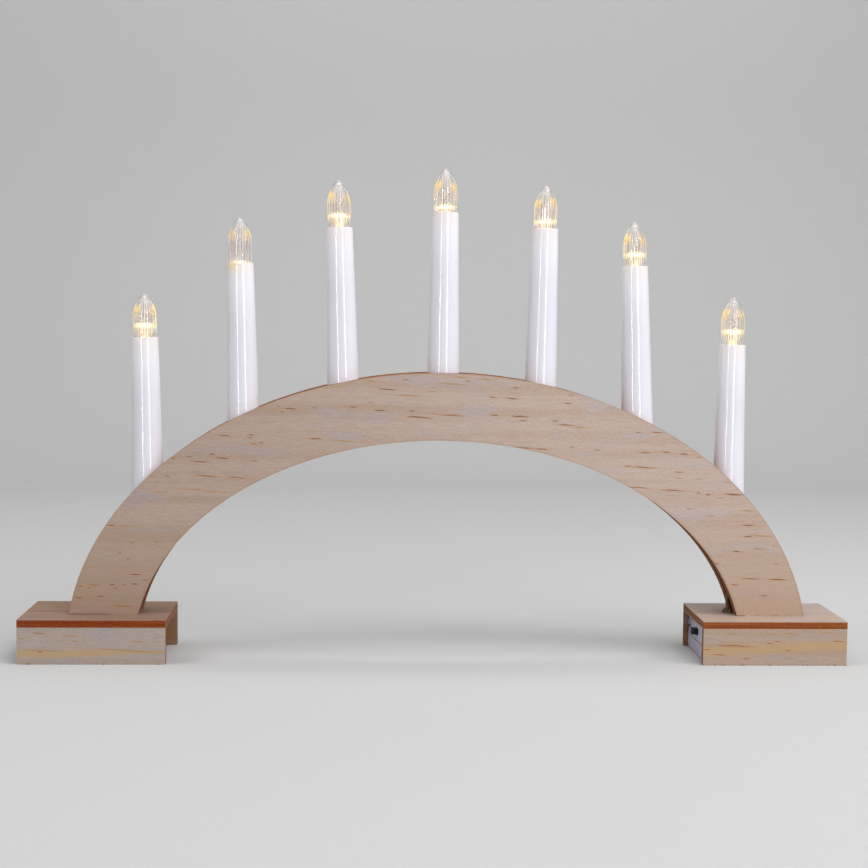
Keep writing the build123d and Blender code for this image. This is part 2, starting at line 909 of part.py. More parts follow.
with BuildPart() as switch_pins:
    for place in (-1, 0, 1):
        slab(
            switch_back,
            switch_back + pin_length,
            place * pin_pitch - pin_width / 2,
            place * pin_pitch + pin_width / 2,
            switch_height_on_table - pin_thickness / 2,
            switch_height_on_table + pin_thickness / 2,
        )
save(switch_pins.part, "switch_pins")


# Dropper resistor and the wires inside the box

resistor_x = switch_back + pin_length / 2
resistor_level = box_floor_gap + resistor_height
plus_wire_y = box_entry_y + wire_offset
minus_wire_y = box_entry_y - wire_offset
resistor_y = (plus_wire_y - resistor_length) / 2

with BuildPart() as resistor:
    with BuildSketch(upright(resistor_x, resistor_y, resistor_level)):
        Circle(resistor_diameter / 2)
    extrude(amount=-resistor_length)
    fillet(resistor.edges(), radius=resistor_diameter / 2 - resistor_leg_diameter)
    pin_underside = switch_height_on_table - pin_thickness / 2 - resistor_leg_gap
    wire_underside = box_entry - wire_diameter / 2 - resistor_leg_gap
    for leg_from, leg_to, leg_top in (
        (resistor_y, 0, pin_underside),
        (resistor_y + resistor_length, plus_wire_y, wire_underside),
    ):
        with BuildLine() as leg_route:
            FilletPolyline(
                (resistor_x, leg_from, resistor_level),
                (resistor_x, leg_to, resistor_level),
                (resistor_x, leg_to, leg_top),
                radius=resistor_bend_radius,
            )
        leg_line = leg_route.wires()[0]
        with BuildSketch(Plane(leg_line @ 0, z_dir=leg_line % 0)):
            Circle(resistor_leg_diameter / 2)
        sweep()
save(resistor.part, "resistor")

wire_end_x = box_end + wire_end_reach
behind_pins = partition_face - wire_diameter / 2 - box_wire_bend_radius
wire_lead_y = minus_wire_y - 2 * box_wire_bend_radius
tab_side_y = tab_y - tab_width / 2 - splice_gap
tab_wire_x = switch_back + pin_length + wire_diameter
box_wire_routes = (
    # From the far plate, between two cells and through the partition, to the minus wire
    (
        (far_plate - splice_gap, return_wire_y, return_wire_height),
        (behind_pins, return_wire_y, return_wire_height),
        (behind_pins, wire_lead_y, return_wire_height),
        (wire_end_x + wire_diameter, minus_wire_y, box_entry),
    ),
    # From the first plate's tab to the outer pin of the switch
    (
        (tab_wire_x, tab_side_y, cell_height),
        (tab_wire_x, (tab_side_y + pin_pitch) / 2, cell_height),
        (tab_wire_x, pin_pitch, switch_height_on_table),
    ),
)

with BuildPart() as box_wires:
    for corners in box_wire_routes:
        with BuildLine() as route:
            FilletPolyline(*corners, radius=box_wire_bend_radius)
        line = route.wires()[0]
        with BuildSketch(Plane(line @ 0, z_dir=line % 0)):
            Circle(wire_diameter / 2)
        sweep()
save(box_wires.part, "box_wires")
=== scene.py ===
import math

import bmesh
import bpy
from mathutils import Matrix, Vector


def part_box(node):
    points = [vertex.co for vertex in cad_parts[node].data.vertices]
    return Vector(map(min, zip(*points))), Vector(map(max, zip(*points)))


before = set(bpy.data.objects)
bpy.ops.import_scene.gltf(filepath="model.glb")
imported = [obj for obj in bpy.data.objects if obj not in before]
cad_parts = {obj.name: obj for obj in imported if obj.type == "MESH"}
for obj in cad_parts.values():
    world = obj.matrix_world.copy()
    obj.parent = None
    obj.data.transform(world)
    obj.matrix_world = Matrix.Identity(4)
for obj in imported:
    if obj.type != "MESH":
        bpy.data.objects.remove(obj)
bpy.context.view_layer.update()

# Pine veneer on the arch
# Two thin sheets of sliced pine, glued over the faces of the arch and sanded flush with its edges.
# The grain lies along the arch, pinkish beige, with short brown resin flecks in it.

mm = 0.001


class Finish:
    """A material being made: its shader, and short calls that add nodes and give back an output."""

    noise_middle = 0.5
    # Numbers of the sockets for colours on Blender's Mix node, where several share a name
    mix_share = 0
    mix_first = 6
    mix_second = 7
    mix_result = 2

    def __init__(self, name, constants):
        self.material = bpy.data.materials.new(name)
        self.material.use_nodes = True
        self.tree = self.material.node_tree
        self.shader = self.tree.nodes["Principled BSDF"]
        for socket, value in constants.items():
            self.shader.inputs[socket].default_value = value

    def feed(self, socket, value):
        """Join an output to a socket, or set the socket to a plain value."""
        if isinstance(value, bpy.types.NodeSocket):
            self.tree.links.new(value, socket)
        else:
            socket.default_value = value

    def add(self, kind, inputs, output=0, **settings):
        """Add a node, set it up, feed its inputs and give back one of its outputs."""
        node = self.tree.nodes.new("ShaderNode" + kind)
        for setting, value in settings.items():
            setattr(node, setting, value)
        for socket, value in inputs.items():
            self.feed(node.inputs[socket], value)
        return node.outputs[output]

    def place(self):
        """Where a point is on the object, in metres."""
        return self.add("TexCoord", {}, "Object")

    def facing_sideways(self):
        """1 on a face that looks left or right, 0 on one that looks up, down, forward or back."""
        return self.size(self.part(self.add("TexCoord", {}, "Normal"), "X"))

    def part(self, vector, axis):
        """One coordinate of a vector, by its letter."""
        return self.add("SeparateXYZ", {"Vector": vector}, axis)

    def join(self, x, y):
        """A place on a flat sheet, from its two coordinates."""
        return self.add("CombineXYZ", {"X": x, "Y": y})

    def maths(self, operation, first, second=0.0):
        """One step of arithmetic, by Blender's name for it."""
        return self.add("Math", {0: first, 1: second}, operation=operation)

    def plus(self, first, second):
        return self.maths("ADD", first, second)

    def minus(self, first, second):
        return self.maths("SUBTRACT", first, second)

    def times(self, product, *factors):
        for factor in factors:
            product = self.maths("MULTIPLY", product, factor)
        return product

    def over(self, first, second):
        return self.maths("DIVIDE", first, second)

    def larger(self, first, second):
        return self.maths("MAXIMUM", first, second)

    def size(self, value):
        """A value without its sign."""
        return self.maths("ABSOLUTE", value)

    def rise(self, value, low, high):
        """0 at low, 1 at high, and a smooth step between."""
        sockets = {"Value": value, "From Min": low, "From Max": high}
        return self.add("MapRange", sockets, interpolation_type="SMOOTHSTEP")

    def fall(self, value, low, high):
        """1 at low, 0 at high, and a smooth step between."""
        return self.minus(1.0, self.rise(value, low, high))

    def stretch(self, place, lengths):
        """A place counted in these lengths along X, Y and Z."""
        return self.add("Mapping", {"Vector": place, "Scale": [1 / length for length in lengths]})

    def noise(self, place, lengths, detail=2.0, coarseness=0.5):
        """Smooth noise with grains of about these lengths."""
        sockets = {"Vector": self.stretch(place, lengths), "Scale": 1.0, "Detail": detail}
        return self.add("TexNoise", {**sockets, "Roughness": coarseness}, "Fac")

    def swing(self, noise, depth):
        """Noise that swings to both sides of zero, over this depth."""
        return self.times(self.minus(noise, self.noise_middle), depth)

    def mix(self, share, first, second, blend="MIX"):
        """Two colours mixed by a share."""
        sockets = {self.mix_share: share, self.mix_first: first, self.mix_second: second}
        return self.add("Mix", sockets, self.mix_result, data_type="RGBA", blend_type=blend)

    def tint(self, tone, colour):
        """A tone multiplied by a colour."""
        return self.mix(1.0, tone, colour, "MULTIPLY")

    def to_shader(self, socket, value):
        """Feed one of the shader's own sockets."""
        self.feed(self.shader.inputs[socket], value)

    def colour(self, tone):
        self.to_shader("Base Color", tone)

    def roughness(self, value, low, high):
        """Roughness from low to high, as the value goes from 0 to 1."""
        self.to_shader("Roughness", self.plus(self.times(value, high - low), low))

    def relief(self, height, depth):
        """Bumps of this depth."""
        self.to_shader("Normal", self.add("Bump", {"Height": height, "Distance": depth}))

    def dress(self, *nodes):
        """Put the finish on CAD nodes."""
        for name in nodes:
            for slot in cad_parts[name].material_slots:
                slot.material = self.material


class PineVeneer(Finish):
    """Sliced pine: broad tone bands, grey patches, amber streaks, fine fibres and strewn flecks."""

    pale = (0.530, 0.412, 0.350, 1)
    tan = (0.486, 0.363, 0.288, 1)
    grey = (0.472, 0.400, 0.392, 1)
    amber = (0.470, 0.305, 0.170, 1)
    olive = (0.400, 0.255, 0.120, 1)
    rust = (0.330, 0.130, 0.042, 1)
    resin = (0.225, 0.066, 0.018, 1)
    ray_strength = 0.7
    fibre_strength = 0.34
    fibre_noise = (0.60, 1.10)
    fibre_relief = 0.03 * mm
    fibre_roughness = (0.50, 0.72)

    def __init__(self, name, fleck_share):
        super().__init__(name, {"Specular IOR Level": 0.25})
        where = self.place()
        self.along = self.part(where, "X")
        self.height = self.part(where, "Z")
        across = self.plus(self.part(where, "Y"), self.height)
        flat = self.join(self.along, across)
        # The grain wanders a little to each side
        wander = self.swing(self.figure(flat, length=140 * mm, width=50 * mm, detail=1.0), depth=7 * mm)
        self.grain = self.join(self.along, self.plus(across, wander))

        tone = self.streaks(
            self.pale, self.tan, strength=1.0, length=330 * mm, width=8 * mm, start=0.38, full=0.66
        )
        tone = self.streaks(
            tone, self.grey, strength=0.75, length=38 * mm, width=9 * mm, start=0.50, full=0.72, detail=1.0
        )
        tone = self.streaks(
            tone, self.amber, strength=0.35, length=110 * mm, width=1.6 * mm, start=0.56, full=0.76,
            coarseness=0.6,
        )

        fibres = self.figure(self.grain, length=9 * mm, width=0.35 * mm, detail=3.0, coarseness=0.65)
        rays = self.figure(flat, length=0.7 * mm, width=1.4 * mm)
        lines = self.plus(fibres, self.times(rays, self.ray_strength))
        dark = self.times(self.rise(lines, *self.fibre_noise), self.fibre_strength)
        tone = self.mix(dark, tone, self.tan, "MULTIPLY")
        if fleck_share:
            tone = self.strewn_flecks(tone, length=15 * mm, width=1.5 * mm, share=fleck_share)
            tone = self.strewn_flecks(tone, length=6 * mm, width=1.2 * mm, share=fleck_share / 3)
        self.tone = tone
        self.colour(tone)
        self.roughness(fibres, *self.fibre_roughness)
        self.relief(fibres, self.fibre_relief)

    def figure(self, place, length, width, detail=2.0, coarseness=0.5):
        """Noise on a flat sheet, with grains of this length along it and this width across."""
        return self.noise(place, (length, width, 1), detail, coarseness)

    def streaks(self, tone, colour, strength, length, width, start, full, detail=2.0, coarseness=0.5):
        """A tone streaked with a colour: none of it where the noise is below start, all above full."""
        noise = self.figure(self.grain, length, width, detail, coarseness)
        return self.mix(self.times(self.rise(noise, start, full), strength), tone, colour)

    def strewn_flecks(self, tone, length, width, share):
        """Short dashes along the grain, in this share of all the places where one could be."""
        halo_reach = (0.15, 0.60)
        halo_strength = 0.35
        core_reach = (0.05, 0.36)
        core_strength = 0.8
        cells = {"Vector": self.stretch(self.grain, (length, width, 1)), "Scale": 1.0}
        spots = self.add("TexVoronoi", cells, "Distance", voronoi_dimensions="2D")
        chance = self.add("TexVoronoi", cells, "Color", voronoi_dimensions="2D")
        chosen = self.rise(self.part(chance, "X"), 1 - share, 1 - share / 3)
        ragged = self.swing(self.figure(self.grain, length=2.5 * mm, width=0.4 * mm), depth=0.25)
        reach = self.plus(spots, ragged)
        halo = self.times(self.fall(reach, *halo_reach), chosen, halo_strength)
        core = self.times(self.fall(reach, *core_reach), chosen, core_strength)
        return self.mix(core, self.mix(halo, tone, self.amber), self.rust)

    def placed_flecks(self, tone, colour, flecks):
        """Flecks of one colour, sinking a little: for each length, places at x and z, in millimetres."""
        slant = 0.05
        half_length_share = 0.70
        least_half_width = 0.34
        width_growth = 0.008
        halo_reach = (0.5, 2.6)
        halo_strength = 0.34
        core_reach = (0.32, 1.08)
        far_off = 9.0
        sway = self.swing(
            self.figure(self.join(self.along, self.height), length=9 * mm, width=4 * mm, detail=1.0),
            depth=1.1 * mm,
        )
        level = self.plus(self.plus(self.height, sway), self.times(self.along, slant))
        face = self.join(self.along, level)
        nearest = far_off
        for length, places in flecks.items():
            half_length = half_length_share * length
            half_width = least_half_width + width_growth * length
            drawn = self.stretch(face, (half_length * mm, half_width * mm, 1))
            for x, z in places:
                middle = (x / half_length, (z + slant * x) / half_width, 0)
                away = self.add("VectorMath", {0: drawn, 1: middle}, "Value", operation="DISTANCE")
                nearest = self.maths("MINIMUM", away, nearest)
        ragged = self.swing(self.figure(face, length=2.2 * mm, width=0.3 * mm), depth=0.9)
        halo = self.times(self.fall(nearest, *halo_reach), halo_strength)
        core = self.fall(self.plus(nearest, ragged), *core_reach)
        return self.mix(core, self.mix(halo, tone, self.amber), colour)


arch_centre_x = 2.5 * mm
arch_centre_z = 4.35 * mm
arch_half_width = 204.5 * mm
arch_rise = 153.25 * mm
arch_ring_width = 36.9 * mm
foot_top = 24.2 * mm


def arch_ellipse(finish, inset):
    """1 on the arch's outer edge drawn inset by this much, less inside it and more outside."""
    where = finish.place()
    x = finish.minus(finish.part(where, "X"), arch_centre_x)
    z = finish.minus(finish.part(where, "Z"), arch_centre_z)
    across = finish.over(x, arch_half_width - inset)
    up = finish.over(z, arch_rise - inset)
    return finish.add("VectorMath", {0: finish.join(across, up)}, "Value", operation="LENGTH")


class ArchVeneer(PineVeneer):
    """Pine veneer of the arch: painted light and shade, paler to the right and darker to the left, yellower
    down the legs, darker along its edges.
    """

    painted_shade_left = (0.90, 0.88, 0.87, 1)
    painted_light_right = (1.10, 1.11, 1.14, 1)
    sidelight_span = (-160 * mm, 100 * mm)
    straw = (0.420, 0.288, 0.190, 1)
    straw_strength = 0.60
    straw_span = (30 * mm, 85 * mm)
    edge_dark = (0.375, 0.225, 0.130, 1)
    edge_dark_strength = 0.35
    outer_edge_span = (0.9925, 1.0)
    inner_edge_span = (1.0, 1.011)
    base_dark_line = (0.130, 0.075, 0.045, 1)
    line_span = (0.15 * mm, 0.6 * mm)
    line_noise = (0.35, 0.55)
    squeezed_glue = (0.600, 0.520, 0.450, 1)
    bead_span = (0.4 * mm, 1.1 * mm)
    bead_noise = (0.42, 0.66)
    bead_end = 1 * mm

    def __init__(self, name, fleck_share, flecks=(), glue_run=None):
        super().__init__(name, fleck_share)
        # Painted light and shade: the veneer is tinted darker to the left and paler to the right, as the
        # light falls from the right
        painted_sidelight = self.mix(self.rise(self.along, *self.sidelight_span), self.painted_shade_left, self.painted_light_right)
        legs = self.times(self.fall(self.height, *self.straw_span), self.straw_strength)
        tone = self.tint(self.mix(legs, self.tone, self.straw), painted_sidelight)
        for colour, places in flecks:
            tone = self.placed_flecks(tone, colour, places)
        # The face darkens towards its outer and inner edges
        near_outer = self.rise(arch_ellipse(self, 0), *self.outer_edge_span)
        near_inner = self.fall(arch_ellipse(self, arch_ring_width), *self.inner_edge_span)
        edges = self.times(self.larger(near_outer, near_inner), self.edge_dark_strength)
        tone = self.mix(edges, tone, self.edge_dark)
        # A dark line where the legs stand on the feet, and a bead of glue squeezed out along part of it
        above = self.minus(self.height, foot_top)
        seam = self.fall(above, *self.line_span)
        stretches = self.figure(self.grain, length=14 * mm, width=30 * mm, detail=1.0)
        unbroken = self.rise(stretches, *self.line_noise)
        tone = self.mix(self.times(seam, unbroken), tone, self.base_dark_line)
        if glue_run:
            first, last = glue_run
            begun = self.rise(self.along, first, first + self.bead_end)
            ended = self.rise(self.along, last - self.bead_end, last)
            bead = self.fall(above, *self.bead_span)
            lumps = self.figure(self.grain, length=1.5 * mm, width=9 * mm, detail=1.0)
            lumpy_bead = self.times(self.minus(begun, ended), bead, self.rise(lumps, *self.bead_noise))
            tone = self.mix(lumpy_bead, tone, self.squeezed_glue)
        self.colour(tone)


resin_flecks = {
    2.6: [
        (-122.4, 112.4), (-146.7, 100.4), (150, 91.7), (-194, 39.8), (-176.5, 40.7), (-13.8, 136.6),
    ],
    4: [
        (-46, 138.8), (71.4, 141.9), (136.3, 114.2), (172.7, 68.7), (166.4, 60.5), (182.5, 35.6),
        (-177, 73.1), (-164.4, 41), (-182.7, 34.2), (-194.8, 33.2), (31.3, 134.8),
    ],
    6: [
        (-117, 110.3), (-115.7, 122.6), (-80, 137.5), (-31.4, 137.3), (-66.6, 121.3), (40.7, 144.1),
        (57.5, 116.4), (172.7, 74.9), (-164, 46.3),
    ],
    9: [(-129, 108.4), (-27.5, 148.6), (45, 134.3), (164.3, 92.1), (190, 44.8)],
    11: [(-10, 133.4)],
}
rust_flecks = {
    2: [
        (-101.8, 121.8), (-95.8, 118.8), (-84.6, 135.9), (-67, 138.1), (-17.5, 153.7), (16.2, 153.4),
        (74, 117.9), (88, 116.2), (144.5, 92.8), (-165.5, 63.8), (-152.8, 64.3), (-172.4, 58.1),
        (-189, 38.7), (-175, 38.7), (-170, 40.5), (139.5, 84),
    ],
    3: [
        (-101.4, 123.2), (-99.7, 118.2), (-135, 111.1), (-143.7, 110.3), (-99.3, 108.9), (42.6, 150),
        (64.4, 132), (110.5, 126.2), (-167.8, 55),
    ],
    4: [
        (30.5, 144.9), (46.9, 131.9), (126, 115.3), (105, 107.5), (133.4, 104.3), (166, 41.6),
        (155.2, 53.4), (-158.3, 43.2),
    ],
    6: [(121, 126.2), (115, 115), (-186, 40.4)],
    9: [(-109, 99.7), (70.7, 129.8), (175.2, 45.2)],
    11: [
        (-125, 100.5), (8, 134.7), (48, 117.2), (114.3, 106.7), (111, 95.5), (130, 94), (-171.2, 28.7),
    ],
}
olive_flecks = {
    2.6: [
        (-36.4, 141.1), (73, 146.3), (94.2, 139.4), (133.5, 100.9), (144.6, 100.6), (157, 90.1),
        (151.5, 80.2), (187.3, 63.6), (189, 53.3), (-179, 59.4), (-156.7, 55.8), (161, 98.9),
        (144.3, 112.6),
    ],
    4: [(-154.6, 100.1), (-89.3, 137), (-54.3, 149.8), (-3, 147.6), (-2, 135.3)],
    6: [
        (-151, 91.7), (-37, 153), (12.6, 155.4), (26, 154.4), (78, 128.6), (171.6, 83), (178.5, 61.7),
    ],
    12: [
        (-131.7, 92.9), (-121.5, 91.9), (-50.7, 120.2), (-16.8, 145.4), (8.3, 151.7), (180, 69.1),
        (-168.7, 72.9),
    ],
}
front_flecks = (
    (PineVeneer.olive, olive_flecks),
    (PineVeneer.rust, rust_flecks),
    (PineVeneer.resin, resin_flecks),
)
glue_run = (170.5 * mm, 178 * mm)
no_strewn_flecks = 0.0
back_fleck_share = 0.10
ArchVeneer("pine_arch_front", no_strewn_flecks, front_flecks, glue_run).dress("arch_front_veneer")
ArchVeneer("pine_arch_back", back_fleck_share).dress("arch_back_veneer")

# Arch core
# A thick board of fibreboard, sawn to the arch with a groove along its inner edge for the wires.
# Only its edges show: brown, felted, with a paler dust of fibres where the saw went.


class Fibreboard(Finish):
    """Sawn edge of pressed fibres."""

    sawn_deep = (0.225, 0.088, 0.038, 1)
    sawn_light = (0.340, 0.158, 0.080, 1)
    layer_strength = 0.6
    fibre_noise = (0.60, 1.05)
    felt_relief = 0.06 * mm
    felt_roughness = (0.70, 0.95)

    def __init__(self, name):
        super().__init__(name, {"Specular IOR Level": 0.05})
        where = self.place()
        felt = self.noise(where, (0.9 * mm, 0.9 * mm, 0.5 * mm), detail=3.0, coarseness=0.7)
        layers = self.noise(where, (60 * mm, 12 * mm, 1.2 * mm))
        layered = self.plus(felt, self.times(layers, self.layer_strength))
        self.fibre = self.rise(layered, *self.fibre_noise)
        self.sawn = self.mix(self.fibre, self.sawn_deep, self.sawn_light)
        self.roughness(felt, *self.felt_roughness)
        self.relief(felt, self.felt_relief)


groove_half_width = 2.5 * mm
groove_side = (groove_half_width - 0.1 * mm, groove_half_width + 0.3 * mm)
outer_side = (0.955, 0.970)
# The groove is painted a much darker brown than the sawn edges: painted shade inside the groove
groove_shade_deep = (0.120, 0.038, 0.012, 1)
groove_shade_light = (0.190, 0.070, 0.026, 1)
arch_edge = Fibreboard("arch_edge")
groove_in_shade = arch_edge.mix(arch_edge.fibre, groove_shade_deep, groove_shade_light)
off_middle = arch_edge.size(arch_edge.part(arch_edge.place(), "Y"))
beside_groove = arch_edge.rise(off_middle, *groove_side)
outer_edge = arch_edge.rise(arch_ellipse(arch_edge, 0), *outer_side)
arch_edge.colour(arch_edge.mix(arch_edge.larger(beside_groove, outer_edge), groove_in_shade, arch_edge.sawn))
arch_edge.dress("arch_core")

# Feet
# Each is an upside-down channel of three thin boards glued together: fibreboard with pine veneer on
# both faces. The long edges of the boards are a strong reddish brown, their sawn ends paler.


class FootEdge(Fibreboard):
    """Edges of a foot's boards: oiled along their length, plain sawn at their ends."""

    end_facing = (0.4, 0.6)

    def __init__(self, name, oiled_deep, oiled_light):
        super().__init__(name)
        oiled = self.mix(self.fibre, oiled_deep, oiled_light)
        self.colour(self.mix(self.rise(self.facing_sideways(), *self.end_facing), oiled, self.sawn))


class FootVeneer(PineVeneer):
    """Pine veneer of a foot's side: one yellow band, chips along its lower edge, darker on the inside."""

    yellow = (0.490, 0.325, 0.155, 1)
    band_strength = 0.75
    band_reach = (0.35, 1.45)
    band_feathering = 2.2
    chip = (0.160, 0.080, 0.040, 1)
    chip_noise = (0.56, 0.66)
    chip_span = (0.25 * mm, 0.7 * mm)
    inner_tint = (0.680, 0.470, 0.310, 1)
    inner_face = 26 * mm

    def __init__(self, name, low, high, look):
        super().__init__(name, no_strewn_flecks)
        band = look["band"]
        middle = (low.x + high.x) / 2
        half_length = (high.x - low.x) / 2
        side = self.over(self.minus(self.along, middle), half_length)
        line = self.plus(self.times(side, band["tilt"]), band["centre"])
        reach = self.plus(self.times(side, band["taper"]), band["half_width"])
        away = self.size(self.minus(self.height, line))
        feather = self.figure(self.grain, length=30 * mm, width=1.3 * mm, coarseness=0.6)
        from_band = self.plus(self.over(away, reach), self.swing(feather, self.band_feathering))
        in_band = self.times(self.fall(from_band, *self.band_reach), self.band_strength)
        tone = self.mix(in_band, self.tint(self.tone, look["side_tint"]), self.yellow)
        tone = self.placed_flecks(tone, self.olive, look["olive_flecks"])
        tone = self.placed_flecks(tone, self.rust, look["rust_flecks"])
        nicks = self.figure(self.grain, length=2.2 * mm, width=20 * mm, coarseness=0.7)
        lower_edge = self.fall(self.height, *self.chip_span)
        tone = self.mix(self.times(self.rise(nicks, *self.chip_noise), lower_edge), tone, self.chip)
        off_middle = self.size(self.part(self.place(), "Y"))
        inside = self.maths("LESS_THAN", off_middle, self.inner_face)
        self.colour(self.mix(inside, tone, self.inner_tint, "MULTIPLY"))


foot_looks = {
    "left_foot": {
        "oiled_deep": (0.185, 0.035, 0.008, 1),
        "oiled_light": (0.280, 0.068, 0.017, 1),
        "side_tint": (0.87, 0.92, 0.97, 1),
        "band": {"centre": 6.1 * mm, "tilt": 0.75 * mm, "half_width": 1.4 * mm, "taper": -0.7 * mm},
        "rust_flecks": {2.6: [(-212.6, 6.6)], 7: [(-213, 17)]},
        "olive_flecks": {
            3: [(-222.5, 14.1), (-194, 12.6)],
            7: [(-197, 15.3), (-160, 12.5)],
            20: [(-210, 7.5)],
            34: [(-165, 7.6)],
        },
        # The left foot's top is painted darker and browner: partly painted shade, where its leg keeps off
        # the light from the right, and partly darker wood
        "top_front_tint": (0.60, 0.50, 0.46, 1),
        "top_back_tint": (0.63, 0.52, 0.42, 1),
        "top_joint_darkness": 0.55,
    },
    "right_foot": {
        "oiled_deep": (0.215, 0.052, 0.013, 1),
        "oiled_light": (0.330, 0.104, 0.031, 1),
        "side_tint": (0.91, 0.88, 0.82, 1),
        "band": {"centre": 9.5 * mm, "tilt": 1.6 * mm, "half_width": 2.8 * mm, "taper": 0.2 * mm},
        "rust_flecks": {
            3.6: [(147.5, 8.9), (169.6, 3.9), (182.2, 12.4), (186.7, 13.4), (192.3, 8.2)],
            7: [(154.6, 6), (220, 13.4)],
            19: [(162.4, 10.9)],
        },
        "olive_flecks": {7: [(161, 17.5), (183, 17.5), (193.6, 17.4), (213.4, 18.4)]},
        "top_front_tint": (0.97, 0.97, 0.97, 1),
        "top_back_tint": (0.97, 1.01, 1.06, 1),
        "top_joint_darkness": 0.12,
    },
}
top_fleck_share = 0.03
strip_joint_y = -2 * mm
strip_change = (-0.2 * mm, 0.2 * mm)
strip_joint_reach = (0.3 * mm, 2.4 * mm)
for foot, look in foot_looks.items():
    board_edges = FootEdge(f"{foot}_edge", look["oiled_deep"], look["oiled_light"])
    board_edges.dress(f"{foot}_top_board", f"{foot}_front_board", f"{foot}_back_board")
    # The top's veneer is two strips, laid edge to edge; their tints also carry painted shade on the left
    # foot
    top = PineVeneer(f"pine_{foot}_top", top_fleck_share)
    behind = top.minus(top.part(top.place(), "Y"), strip_joint_y)
    strip_tones_and_shade = top.mix(top.rise(behind, *strip_change), look["top_front_tint"], look["top_back_tint"])
    strip_joint = top.times(top.fall(top.size(behind), *strip_joint_reach), look["top_joint_darkness"])
    top.colour(top.mix(strip_joint, top.tint(top.tone, strip_tones_and_shade), FootVeneer.chip))
    top.dress(f"{foot}_top_veneers")
    sides = FootVeneer(f"pine_{foot}", *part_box(f"{foot}_front_veneers"), look)
    sides.dress(f"{foot}_front_veneers", f"{foot}_back_veneers")

# Leg screws
# Zinc-plated countersunk screws, driven up through the top of each foot into the leg.


class TwoTone(Finish):
    """A finish that wanders between two tones and between two roughnesses, in grains of one size."""

    def __init__(self, name, constants, grain, tones, rough, relief=0.0, detail=2.0, coarseness=0.5):
        super().__init__(name, constants)
        self.grains = self.noise(self.place(), grain, detail, coarseness)
        self.tone = self.mix(self.grains, *tones)
        self.colour(self.tone)
        self.roughness(self.grains, *rough)
        if relief:
            self.relief(self.grains, relief)


zinc = TwoTone(
    "zinc_plate",
    {"Metallic": 1.0},
    grain=(3 * mm, 3 * mm, 3 * mm),
    tones=((0.52, 0.50, 0.44, 1), (0.72, 0.70, 0.62, 1)),
    rough=(0.28, 0.48),
    detail=3.0,
)
zinc.dress("leg_screws")

# Candle sleeves
# Tapered tubes moulded in white plastic, glossy, pushed into holes in the arch. Near the rim the light
# inside warms the thin wall.


class SleevePlastic(Finish):
    """Glossy white plastic, warmed near the rim by the light behind it."""

    white = (0.815, 0.805, 0.875, 1)
    cool = (0.785, 0.775, 0.850, 1)
    warm = (0.815, 0.735, 0.700, 1)
    warm_strength = 0.6
    warm_depth = 14 * mm
    yellow = (0.850, 0.720, 0.470, 1)
    yellow_side = (-2 * mm, 6 * mm)
    yellow_span = (0.5 * mm, 7 * mm)
    glow = (1.0, 0.90, 0.85, 1)
    glow_strength = 0.10
    glow_depth = 38 * mm
    ripple_depth = 0.02 * mm
    skin_roughness = (0.08, 0.13)

    def __init__(self, name, rim, axis_x, low_led):
        super().__init__(name, {"Specular IOR Level": 0.5, "Emission Color": self.glow})
        where = self.place()
        flow = self.noise(where, (7 * mm, 7 * mm, 60 * mm))
        below = self.minus(rim, self.part(where, "Z"))
        warmed = self.times(self.fall(below, 0.0, self.warm_depth), self.warm_strength)
        tone = self.mix(warmed, self.mix(flow, self.white, self.cool), self.warm)
        if low_led:
            # The light of an LED as low as the rim shows through on its left
            aside = self.minus(axis_x, self.part(where, "X"))
            left = self.rise(aside, *self.yellow_side)
            close = self.fall(below, *self.yellow_span)
            tone = self.mix(self.times(left, close), tone, self.yellow)
        self.colour(tone)
        lit = self.fall(below, 0.0, self.glow_depth)
        self.to_shader("Emission Strength", self.times(lit, self.glow_strength))
        skin = self.noise(where, (0.6 * mm, 0.6 * mm, 0.6 * mm))
        self.roughness(skin, *self.skin_roughness)
        ripples = self.noise(where, (5 * mm, 5 * mm, 25 * mm), detail=1.0)
        self.relief(ripples, self.ripple_depth)


candle_numbers = range(1, 8)
lowest_led = 2
for number in candle_numbers:
    sleeve = f"candle_sleeve_{number}"
    low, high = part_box(sleeve)
    plastic = SleevePlastic(f"sleeve_white_{number}", high.z, (low.x + high.x) / 2, number == lowest_led)
    plastic.dress(sleeve)

# Flame caps
# Clear bullets moulded in one piece, with fine upright ribs inside and a spigot that goes into the
# sleeve. The light runs up inside the wall and shows again at the shoulders.


